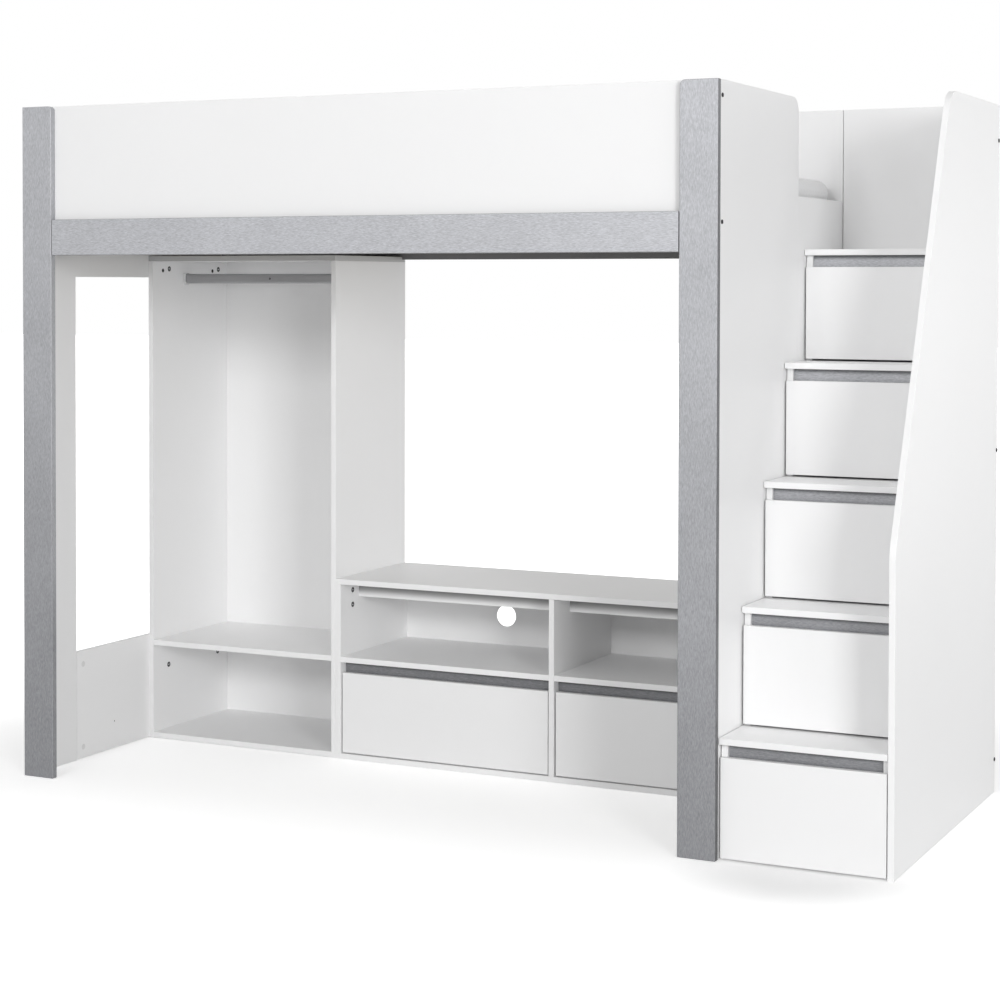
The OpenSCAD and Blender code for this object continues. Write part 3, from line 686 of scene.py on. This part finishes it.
class BED_OT_mattress(bpy.types.Operator):
    """Quilted mattress with piping round its top and bottom edges"""

    bl_idname = "bed.mattress"
    bl_label = "Mattress"

    # Radii of the upright corners and of the top and bottom edges
    CORNER = 0.06
    TOP_EDGE = 0.034
    BOTTOM_EDGE = 0.018
    # How far the top rises in the middle, and how far the sides draw in
    CROWN = 0.006
    WAIST = 0.005
    # Length of the small faces, and how high the two pipings lie
    MESH_STEP = 0.0115
    PIPING_HEIGHTS = {"mattress_piping_low": 0.02, "mattress_piping_high": 0.1}

    def execute(self, context):
        size = context.scene.bed_mattress
        low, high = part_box("mattress")
        piece = self.block("quilted_mattress", low, high)
        for v in piece.data.vertices:
            v.co = self.plump(v.co, low, high)
        piece.data.update()
        only(piece)
        bpy.ops.object.shade_smooth()
        normals = [v.normal.copy() for v in piece.data.vertices]
        for v, normal in zip(piece.data.vertices, normals):
            v.co -= normal * self.seam_depth(v.co, normal, low, high, size)
        piece.data.update()
        piece.data.materials.append(finish_named("ticking"))
        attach(piece, "root")
        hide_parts("mattress")
        for name, rise in self.PIPING_HEIGHTS.items():
            self.piping(name, low, high, rise, size.piping)
        return {"FINISHED"}

    def block(self, name, low, high):
        """A block of the mattress's size, cut into small even faces."""
        extent = high - low
        block = cuboid(name, extent, (low + high) / 2)
        for axis in (X, Y, Z):
            only(block)
            for edge in block.data.edges:
                one, two = (block.data.vertices[i].co for i in edge.vertices)
                edge.select = abs(one[axis] - two[axis]) > 0.5 * extent[axis]
            for part in [*block.data.vertices, *block.data.polygons]:
                part.select = False
            bpy.ops.object.mode_set(mode="EDIT")
            bpy.ops.mesh.select_mode(type="EDGE")
            bpy.ops.mesh.subdivide(number_cuts=round(extent[axis] / self.MESH_STEP))
            bpy.ops.object.mode_set(mode="OBJECT")
        return block

    def plump(self, place, low, high):
        """Moves a point of the block onto the rounded, crowned form with sides drawn in between the corners."""
        middle, half = (low + high) / 2, (high - low) / 2
        body = high.z - low.z - self.CROWN
        p = place - middle
        rise = (place.z - low.z) / (high.z - low.z) * body
        sign = Vector((math.copysign(1, p.x), math.copysign(1, p.y)))
        core = Vector((min(abs(p.x), half.x - self.CORNER), min(abs(p.y), half.y - self.CORNER)))
        out = Vector((abs(p.x), abs(p.y))) - core
        if out.x > 0 and out.y > 0:
            reach = max(out.x, out.y)
            out = out.normalized()
            flat = core + out * reach
            inside = self.CORNER - reach
        else:
            flat = core + out
            gaps = (half.x - flat.x, half.y - flat.y)
            inside = min(gaps)
            out = Vector((1, 0)) if gaps[0] < gaps[1] else Vector((0, 1))
        edge = self.TOP_EDGE if rise > body / 2 else self.BOTTOM_EDGE
        across, up = edge - inside, edge - min(rise, body - rise)
        if across > 0 and up > 0:
            turned = edge / math.hypot(across, up)
            flat -= out * across * (1 - turned)
            up *= turned
            rise = body - edge + up if rise > body / 2 else edge - up
        if inside < 0.001:
            along = (flat.y / half.y) if out.x > out.y else (flat.x / half.x)
            share = (rise - self.BOTTOM_EDGE) / (body - self.BOTTOM_EDGE - self.TOP_EDGE)
            drawn = max(0.0, math.sin(math.pi * min(1, max(0, share))))
            flat -= out * self.WAIST * max(0.0, 1 - along * along) * drawn
        if rise > body / 2:
            inward = min(1.0, max(0.0, (inside - edge) / (half.y - edge)))
            rise += self.CROWN * (1 - (1 - inward) ** 6)
        return Vector((middle.x + flat.x * sign.x, middle.y + flat.y * sign.y, low.z + rise))

    def seam_depth(self, place, normal, low, high, size):
        """How deep the quilting pulls the cover in: crossing seams on top, rows of stitching on the border."""
        turn = math.pi / size.cell / math.sqrt(2)
        x, y = place.x - (low.x + high.x) / 2, place.y - (low.y + high.y) / 2
        seam = (1 - abs(math.sin((x + y) * turn))) ** 5 + (1 - abs(math.sin((x - y) * turn))) ** 5
        top = max(0.0, abs(normal.z) - 0.75) / 0.25
        side = max(0.0, 0.5 - abs(normal.z)) / 0.5
        row = (1 - abs(math.sin((place.z - low.z) / (high.z - low.z) * math.pi * 3))) ** 4
        return size.depth * (top * min(1.0, seam) + 0.5 * side * row)

    def piping(self, name, low, high, rise, radius):
        """A welt round the mattress: its outline at one height, swept with a small circle."""
        middle = (low + high) / 2
        bpy.ops.object.select_all(action="DESELECT")
        bpy.ops.mesh.primitive_plane_add(size=1, location=(middle.x, middle.y, low.z + rise))
        welt = bpy.context.active_object
        welt.name = welt.data.name = name
        welt.scale = (high.x - low.x, high.y - low.y, 1)
        bpy.ops.object.transform_apply(location=True, rotation=True, scale=True)
        edit(
            welt,
            lambda: bpy.ops.mesh.delete(type="ONLY_FACE"),
            lambda: bpy.ops.mesh.select_all(action="SELECT"),
            lambda: bpy.ops.mesh.subdivide(number_cuts=100),
        )
        for v in welt.data.vertices:
            v.co = self.plump(v.co, low, high)
        only(welt)
        bpy.ops.object.convert(target="CURVE")
        welt.data.bevel_depth = radius
        welt.data.bevel_resolution = 3
        bpy.ops.object.convert(target="MESH")
        bpy.ops.object.shade_smooth()
        welt.data.materials.clear()
        welt.data.materials.append(finish_named("border"))
        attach(welt, "root")


class BED_OT_wardrobe(bpy.types.Operator):
    """Boards of the open wardrobe"""

    bl_idname = "bed.wardrobe"
    bl_label = "Wardrobe"

    def execute(self, context):
        for node, axis in {"wardrobe_left_side": X, "wardrobe_bottom": Z, "wardrobe_shelf": Z}.items():
            white_board(node, axis, "inner_face")
        white_board("wardrobe_right_side", X)
        # Its front edge is in painted shade, the shadow of the rail
        white_board("wardrobe_top", Z, edge="grey_edge")
        thin_back("wardrobe_back")
        paint("hanging_rail", "rail_steel")
        paint("hanging_rail_sockets", "white_plastic")
        return {"FINISHED"}


class BED_OT_cabinet(bpy.types.Operator):
    """Boards of the low cabinet"""

    bl_idname = "bed.cabinet"
    bl_label = "Low cabinet"

    def execute(self, context):
        for node, axis in {
            "cabinet_left_side": X, "cabinet_divider": X, "cabinet_right_side": X, "cabinet_bottom": Z,
            "cabinet_shelves": Z,
        }.items():
            white_board(node, axis, "inner_face")
        white_board("cabinet_top", Z)
        # The stretchers carry a painted shadow of the cabinet top
        white_board("cabinet_stretchers", Y, "stretcher_face")
        thin_back("cabinet_back")
        return {"FINISHED"}


class BED_OT_staircase(bpy.types.Operator):
    """Boards of the staircase"""

    bl_idname = "bed.staircase"
    bl_label = "Staircase"

    def execute(self, context):
        for node, axis in {
            "stair_left_side": X, "stair_right_side": X, "stair_outer_panel": X, "stair_back_panel": Y,
            "stair_bottom": Z,
        }.items():
            white_board(node, axis)
        white_board("stair_treads", Z, "inner_face")
        return {"FINISHED"}


class BED_OT_drawers(bpy.types.Operator):
    """Drawer fronts, boxes and runners"""

    bl_idname = "bed.drawers"
    bl_label = "Drawers"

    BOX_EDGE = 0.0006
    # A drawer's bottom lies no higher than this in the box, and is larger than any edge
    BOTTOM_HEIGHT = 0.02
    BOTTOM_AREA = 0.03

    def execute(self, context):
        for drawer in DRAWERS:
            white_board(drawer + "_front", Y)
            self.box(drawer + "_box")
            paint(drawer + "_runners", "runner_enamel")
        paint("carcass_runners", "runner_enamel")
        return {"FINISHED"}

    def box(self, node):
        """An eased box with white sides and a white-faced bottom."""
        piece = merged_copy(node, "dressed_" + node)
        ease(piece, self.BOX_EDGE, 1)
        piece.data.materials.append(finish_named("drawer_white"))
        piece.data.materials.append(finish_named("drawer_bottom"))
        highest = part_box(node)[0].z + self.BOTTOM_HEIGHT
        for polygon in piece.data.polygons:
            level = abs(polygon.normal.z) > FACING and polygon.center.z < highest
            if level and polygon.area > self.BOTTOM_AREA:
                polygon.material_index = 1
        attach(piece, body_of(node))
        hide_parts(node)


class BED_OT_fixings(bpy.types.Operator):
    """Bolt heads, cam fittings, dowel pins and cover caps"""

    bl_idname = "bed.fixings"
    bl_label = "Fixings"

    # Wardrobe: the rows of fixings behind the front, and how each fixing lies from its row and its board's edge
    WARDROBE_ROWS = (0.059, 0.315)
    PIN = (-0.0085, -0.026)
    TOP_CAM = (0.023, -0.021)
    SHELF_CAM = (0.017, 0.2005)
    # Cabinet: how far the cams lie behind the front and below the top
    CABINET_CAM = 0.067
    CABINET_DROPS = (0.0225, 0.0633)
    # Low board: the caps and the dowel hole from its edges
    CAP_INSET = 0.0275
    CAP_RISE = 0.0294
    CAP_DROP = 0.037
    DOWEL = (0.171, 0.075)
    # Uprights of the left end: the caps from its edges
    UPRIGHT_INSET = 0.03
    UPRIGHT_DROP = 0.41
    # Radius, height and width of the cross recess of each kind of stud, and its finish
    KINDS = {
        "cam_fittings": (0.0075, 0.0012, 0.0011, "cam_metal"),
        "dowel_pins": (0.0055, 0.0010, 0, "cam_metal"),
        "cover_caps": (0.0078, 0.0012, 0, "white_plastic"),
        # A dark disc on the low board that stands in for the shade in the dowel hole: painted shade
        "dowel_hole": (0.0018, 0.0008, 0, "cam_metal"),
        "rail_screw": (0.003, 0.001, 0.0007, "black_bolt"),
    }
    # How far a stud stands out of its board, and how its rim is rounded
    PROUD = 0.0004
    RIM = 0.0004
    RIM_ANGLE = math.radians(50)

    def execute(self, context):
        paint("panel_bolts", "black_bolt")
        places = {
            "cam_fittings": [], "dowel_pins": [], "cover_caps": self.caps(), "dowel_hole": [self.dowel()],
            "rail_screw": [self.screw()],
        }
        for node, facing in {"wardrobe_left_side": 1, "wardrobe_right_side": -1}.items():
            low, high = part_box(node)
            face = high.x if facing > 0 else low.x
            for row in self.WARDROBE_ROWS:
                for kind, (back, up), level in (
                    ("dowel_pins", self.PIN, high.z),
                    ("cam_fittings", self.TOP_CAM, high.z),
                    ("cam_fittings", self.SHELF_CAM, low.z),
                ):
                    places[kind].append((Vector((face, low.y + row + back, level + up)), facing))
        for node, facing in {"cabinet_left_side": 1, "cabinet_right_side": -1}.items():
            low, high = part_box(node)
            face = high.x if facing > 0 else low.x
            for drop in self.CABINET_DROPS:
                place = Vector((face, low.y + self.CABINET_CAM, high.z - drop))
                places["cam_fittings"].append((place, facing))
        for kind, spots in places.items():
            self.studs(kind, *self.KINDS[kind], spots)
        return {"FINISHED"}

    def caps(self):
        """Cover caps on the low board and on the uprights of the left end."""
        low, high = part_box("left_end_low_board")
        spots = [
            (Vector((high.x, y, z)), 1)
            for y in (low.y + self.CAP_INSET, high.y - self.CAP_INSET)
            for z in (low.z + self.CAP_RISE, high.z - self.CAP_DROP)
        ]
        low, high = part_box("left_end_panel")
        for y in (low.y + self.UPRIGHT_INSET, high.y - self.UPRIGHT_INSET):
            spots.append((Vector((high.x, y, high.z - self.UPRIGHT_DROP)), 1))
        return spots

    def dowel(self):
        """The place of the dowel hole in the low board, where a dark disc paints its shade."""
        low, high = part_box("left_end_low_board")
        back, up = self.DOWEL
        return Vector((high.x, low.y + back, low.z + up)), 1

    def screw(self):
        """The screw in the middle of the hanging rail's front."""
        low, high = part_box("hanging_rail")
        return Vector(((low.x + high.x) / 2, low.y, (low.z + high.z) / 2)), 0

    def studs(self, name, radius, height, slot, finish, places):
        """Low round studs on faces to the right (1), left (-1) or front (0), some with a cross recess."""
        bpy.ops.object.select_all(action="DESELECT")
        bpy.ops.mesh.primitive_cylinder_add(vertices=32, radius=radius, depth=height)
        stud = bpy.context.active_object
        stud.name = stud.data.name = name
        apply_modifier(stud, "Rim", "BEVEL", width=min(self.RIM, radius * 0.2), segments=2,
                       limit_method="ANGLE", angle_limit=self.RIM_ANGLE)
        if slot:
            for turned in (False, True):
                long, wide = radius * 1.3, slot * 1.2
                size = (wide, long, height) if turned else (long, wide, height)
                cutter = cuboid("cutter", size, (0, 0, height / 2))
                apply_modifier(stud, "Recess", "BOOLEAN", object=cutter, operation="DIFFERENCE", solver="EXACT")
                bpy.data.objects.remove(cutter)
        only(stud)
        bpy.ops.object.shade_smooth_by_angle(angle=SHARP_ANGLE)
        stud.data.materials.clear()
        stud.data.materials.append(finish_named(finish))
        copies = []
        for place, facing in places:
            only(stud)
            bpy.ops.object.duplicate()
            copy = bpy.context.active_object
            normal = Vector((facing, 0, 0)) if facing else Vector((0, -1, 0))
            copy.rotation_euler = normal.to_track_quat("Z", "Y").to_euler()
            copy.location = place + normal * (self.PROUD - height / 2)
            bpy.ops.object.transform_apply(location=True, rotation=True, scale=True)
            copies.append(copy)
        bpy.data.objects.remove(stud)
        only(*copies)
        if len(copies) > 1:
            bpy.ops.object.join()
        whole = bpy.context.active_object
        whole.name = whole.data.name = name
        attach(whole, "root")
        "white_plastic" if finish == "white_plastic" else "bolt_steel"


class BED_OT_studio(bpy.types.Operator):
    """Camera, lights, floor and white background"""

    bl_idname = "bed.studio"
    bl_label = "Studio"

    # The camera as fitted to the photograph; its turns are in degrees
    CAMERA_PLACE = (2.4627, -5.0796, 1.3057)
    HEADING = 25.96
    DIP = 1.37
    ROLL = 0.11
    SHIFT = -0.1637
    SENSOR = 36
    FARTHEST = 200
    # Size and place of each lamp, and the point that all of them face
    LAMPS = {
        "key": (3.0, (8.5, -8.5, 2.5)),
        "high": (2.0, (8.5, -8.5, 5.5)),
        "front": (2.0, (0.5, -12.0, 5.0)),
        "left": (2.0, (-3.2, -11.5, 4.6)),
        "side": (3.0, (11.6, -3.1, 3.0)),
        "rear": (2.0, (5.2, 5.5, 0.6)),
    }
    AIM = (0.1, 0.0, 0.9)
    FLOOR_SIZE = 80
    FLOOR_COLOUR = (0.86, 0.86, 0.86, 1)
    # Between which distances the floor fades to white, and where the painted shadow at the foot of the stairs
    # lies
    FADE = (1.3, 2.9)
    STAIR_FOOT = (0.97, -0.5)
    STAIR_SHADOW = (0.08, 0.34)

    def execute(self, context):
        studio = context.scene.bed_studio
        self.camera(studio)
        for name, (size, place) in self.LAMPS.items():
            self.lamp(name + "_light", getattr(studio, name), size, place)
        self.room(studio)
        self.floor(studio)
        context.scene.view_settings.view_transform = "Standard"
        return {"FINISHED"}

    def camera(self, studio):
        """The camera of the photograph."""
        bpy.ops.object.camera_add()
        camera = bpy.context.active_object
        camera.name = "photo_camera"
        camera.matrix_world = (
            Matrix.Translation(self.CAMERA_PLACE)
            @ Matrix.Rotation(math.radians(self.HEADING), 4, "Z")
            @ Matrix.Rotation(math.radians(90 - self.DIP), 4, "X")
            @ Matrix.Rotation(math.radians(self.ROLL), 4, "Z")
        )
        camera.data.lens = studio.lens
        camera.data.sensor_width = self.SENSOR
        camera.data.shift_y = self.SHIFT
        camera.data.clip_end = self.FARTHEST
        bpy.context.scene.camera = camera

    def lamp(self, name, power, size, place):
        """A square lamp that faces the bed."""
        bpy.ops.object.light_add(type="AREA", location=place)
        lamp = bpy.context.active_object
        lamp.name = name
        lamp.data.energy = power
        lamp.data.size = size
        lamp.rotation_euler = (Vector(self.AIM) - Vector(place)).to_track_quat("-Z", "Y").to_euler()

    def room(self, studio):
        """Even light, which the camera, metal and glass see as white."""
        world = bpy.data.worlds.new("studio_room")
        bpy.context.scene.world = world
        world.use_nodes = True
        tree = world.node_tree
        tree.nodes.clear()
        path = tree.nodes.new("ShaderNodeLightPath")
        seen = tree.nodes.new("ShaderNodeMath")
        seen.operation = "MAXIMUM"
        clear = tree.nodes.new("ShaderNodeMath")
        clear.operation = "MAXIMUM"
        tree.links.new(path.outputs["Is Glossy Ray"], clear.inputs[0])
        tree.links.new(path.outputs["Is Transmission Ray"], clear.inputs[1])
        tree.links.new(path.outputs["Is Camera Ray"], seen.inputs[0])
        tree.links.new(clear.outputs[0], seen.inputs[1])
        strength = tree.nodes.new("ShaderNodeMapRange")
        strength.inputs["To Min"].default_value = studio.sky
        strength.inputs["To Max"].default_value = 1.0
        tree.links.new(seen.outputs[0], strength.inputs["Value"])
        light = tree.nodes.new("ShaderNodeBackground")
        light.inputs["Color"].default_value = (1, 1, 1, 1)
        tree.links.new(strength.outputs[0], light.inputs["Strength"])
        out = tree.nodes.new("ShaderNodeOutputWorld")
        tree.links.new(light.outputs[0], out.inputs["Surface"])

    def floor(self, studio):
        """A matt floor, lifted towards white for the camera, that keeps the shadow of the bed, with a painted
        shadow of less lift at the foot of the stairs and under the bed.
        """
        bpy.ops.mesh.primitive_plane_add(size=self.FLOOR_SIZE, location=(0, 0, 0))
        floor = bpy.context.active_object
        floor.name = "studio_floor"
        s = Shader("studio_floor")
        path = s.node("ShaderNodeLightPath")
        matt = s.value("ShaderNodeBsdfDiffuse", None, {"Color": self.FLOOR_COLOUR})
        seen = Value(s, path.outputs["Is Camera Ray"])
        x, y, _ = s.axes()
        far = ((x * x + y * y) ** 0.5).over(*self.FADE)
        foot_x, foot_y = self.STAIR_FOOT
        from_foot = ((x - foot_x) ** 2 + (y - foot_y) ** 2) ** 0.5
        # Painted shadow: less lift at the foot of the stairs and under the bed
        from_stairs = 0.35 + 0.65 * from_foot.over(*self.STAIR_SHADOW)
        in_front = (0 - y).over(0.3, 0.9)
        near = studio.floor_lift * from_stairs * (0.8 + 0.25 * in_front)
        strength = seen * (near + far * 0.9)
        lift = s.value("ShaderNodeEmission", None, {"Color": (1, 1, 1, 1), "Strength": strength})
        both = s.value("ShaderNodeAddShader", None, {0: matt, 1: lift})
        s.node("ShaderNodeOutputMaterial", None, {"Surface": both})
        floor.data.materials.append(s.material)


class BED_PT_panel(bpy.types.Panel):
    """Sizes, colours and pieces of the bed"""

    bl_label = "High Sleeper"
    bl_idname = "BED_PT_panel"
    bl_space_type = "VIEW_3D"
    bl_region_type = "UI"
    bl_category = "High Sleeper"

    def draw(self, context):
        for group in (context.scene.bed_finishes, context.scene.bed_edges, context.scene.bed_mattress,
                      context.scene.bed_studio):
            box = self.layout.box()
            for name in group.bl_rna.properties.keys():
                if name not in ("rna_type", "name"):
                    box.prop(group, name)
        for operator in OPERATORS:
            self.layout.operator(operator.bl_idname)


GROUPS = {
    "bed_finishes": BedFinishes, "bed_edges": BedEdges, "bed_mattress": BedMattress, "bed_studio": BedStudio,
}
OPERATORS = [
    BED_OT_frame, BED_OT_foil, BED_OT_deck, BED_OT_mattress, BED_OT_wardrobe, BED_OT_cabinet, BED_OT_staircase,
    BED_OT_drawers, BED_OT_fixings, BED_OT_studio,
]


def register():
    """Registers the properties, the operators and the panel."""
    for name, group in GROUPS.items():
        bpy.utils.register_class(group)
        setattr(bpy.types.Scene, name, bpy.props.PointerProperty(type=group))
    for cls in [*OPERATORS, BED_PT_panel]:
        bpy.utils.register_class(cls)


def unregister():
    """Takes back what register did."""
    for cls in [BED_PT_panel, *reversed(OPERATORS)]:
        bpy.utils.unregister_class(cls)
    for name, group in GROUPS.items():
        delattr(bpy.types.Scene, name)
        bpy.utils.unregister_class(group)


def main():
    """Builds all pieces and the studio."""
    register()
    for operator in OPERATORS:
        family, action = operator.bl_idname.split(".")
        getattr(getattr(bpy.ops, family), action)()


if __name__ == "__main__":
    main()
